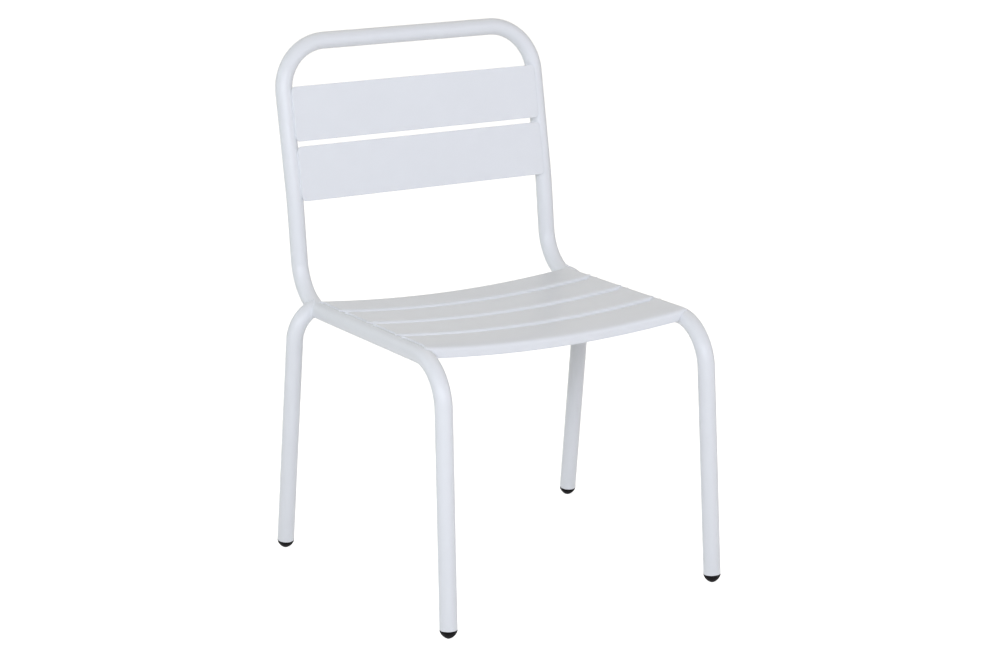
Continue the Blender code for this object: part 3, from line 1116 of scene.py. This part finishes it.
FLOOR_SPECULAR = 0.1
SENSOR_WIDTH = 36.0
CAMERA_REACH = 100.0


def seen_by_eye(tree):
    """1 for a camera ray and for what gloss or glass shows, otherwise 0."""
    path = add_node(tree, "ShaderNodeLightPath")
    total = path.outputs["Is Camera Ray"]
    for label in ("Is Glossy Ray", "Is Transmission Ray"):
        both = add_node(tree, "ShaderNodeMath", operation="MAXIMUM")
        tree.links.new(total, both.inputs[0])
        tree.links.new(path.outputs[label], both.inputs[1])
        total = both.outputs[0]
    return total


class CHAIR_OT_stage(bpy.types.Operator):
    """Build the pale floor, the soft studio lamps, the world and the camera"""

    bl_idname = "chair.stage"
    bl_label = "Stage"

    def execute(self, context):
        scene, stage = context.scene, context.scene.chair_stage
        self.floor(stage)
        self.lamps()
        self.world(scene)
        data = bpy.data.cameras.new("studio_camera")
        data.lens = stage.camera_lens
        data.sensor_width = SENSOR_WIDTH
        data.clip_end = CAMERA_REACH
        camera = new_object("studio_camera", data)
        camera.location = stage.camera_place
        tilt = math.pi / 2 - stage.camera_elevation
        camera.rotation_euler = (tilt, 0.0, stage.camera_azimuth)
        scene.camera = camera
        scene.view_settings.view_transform = "Standard"
        return {"FINISHED"}

    def floor(self, stage):
        form = bmesh.new()
        half = stage.floor_size / 2
        bmesh.ops.create_grid(form, x_segments=FLOOR_SQUARES, y_segments=FLOOR_SQUARES, size=half)
        floor = mesh_piece("studio_floor", form)
        material, tree, shader, _ = shader_parts("pale_floor")
        preset(shader, Base_Color=(*stage.floor, 1.0), Emission_Color=WHITE)
        preset(shader, Roughness=FLOOR_ROUGHNESS, Specular_IOR_Level=FLOOR_SPECULAR)
        glow = add_node(tree, "ShaderNodeMath", operation="MULTIPLY")
        glow.inputs[1].default_value = FLOOR_GLOW
        tree.links.new(seen_by_eye(tree), glow.inputs[0])
        tree.links.new(glow.outputs[0], shader.inputs["Emission Strength"])
        floor.data.materials.append(material)

    def lamps(self):
        for name, azimuth, elevation, width, height, power, tint in LAMPS:
            round_z = Matrix.Rotation(math.radians(azimuth), 3, "Z")
            lifted = Matrix.Rotation(-math.radians(elevation), 3, "X")
            away = round_z @ lifted @ Vector((0.0, -1.0, 0.0))
            data = bpy.data.lights.new(name + "_lamp", "AREA")
            data.shape = "RECTANGLE"
            data.size = width
            data.size_y = height
            data.energy = power
            data.color = tint
            lamp = new_object(name + "_lamp", data)
            lamp.location = Vector(LAMP_AIM) + away * LAMP_DISTANCE
            lamp.rotation_euler = away.to_track_quat("Z", "Y").to_euler()

    def world(self, scene):
        world = bpy.data.worlds.new("studio_world")
        world.use_nodes = True
        tree = world.node_tree
        plain = tree.nodes["Background"]
        preset(plain, Color=(*WORLD_COLOUR, 1.0), Strength=WORLD_LEVEL)
        white = add_node(tree, "ShaderNodeBackground")
        preset(white, Color=WHITE, Strength=1.0)
        either = add_node(tree, "ShaderNodeMixShader")
        tree.links.new(seen_by_eye(tree), either.inputs["Fac"])
        tree.links.new(plain.outputs["Background"], either.inputs[1])
        tree.links.new(white.outputs["Background"], either.inputs[2])
        tree.links.new(either.outputs["Shader"], tree.nodes["World Output"].inputs["Surface"])
        scene.world = world


class CHAIR_PT_panel(bpy.types.Panel):
    """Lists the chair's pieces and its sizes"""

    bl_idname = "CHAIR_PT_panel"
    bl_label = "Bistro Chair"
    bl_space_type = "VIEW_3D"
    bl_region_type = "UI"
    bl_category = "Chair"

    def draw(self, context):
        for operator in OPERATORS:
            self.layout.operator(operator.bl_idname)
        for label in SETTINGS:
            group = getattr(context.scene, label)
            box = self.layout.box()
            for name in group.__annotations__:
                box.prop(group, name)


SETTINGS = {
    "chair_tube": ChairTubeSettings,
    "chair_seat": ChairSeatSettings,
    "chair_back": ChairBackSettings,
    "chair_foot": ChairFootSettings,
    "chair_weld": ChairWeldSettings,
    "chair_finish": ChairFinishSettings,
    "chair_stage": ChairStageSettings,
}

OPERATORS = (
    CHAIR_OT_frame_tube,
    CHAIR_OT_rear_legs,
    CHAIR_OT_seat_slats,
    CHAIR_OT_back_slats,
    CHAIR_OT_feet,
    CHAIR_OT_weld_beads,
    CHAIR_OT_stage,
)

CLASSES = (*SETTINGS.values(), *OPERATORS, CHAIR_PT_panel)


def register():
    for kind in CLASSES:
        bpy.utils.register_class(kind)
    for label, group in SETTINGS.items():
        setattr(bpy.types.Scene, label, PointerProperty(type=group))


def unregister():
    for label in SETTINGS:
        delattr(bpy.types.Scene, label)
    for kind in reversed(CLASSES):
        bpy.utils.unregister_class(kind)


def main():
    register()
    bpy.ops.chair.frame_tube()
    bpy.ops.chair.rear_legs()
    bpy.ops.chair.seat_slats()
    bpy.ops.chair.back_slats()
    bpy.ops.chair.feet()
    bpy.ops.chair.weld_beads()
    bpy.ops.chair.stage()


if __name__ == "__main__":
    main()
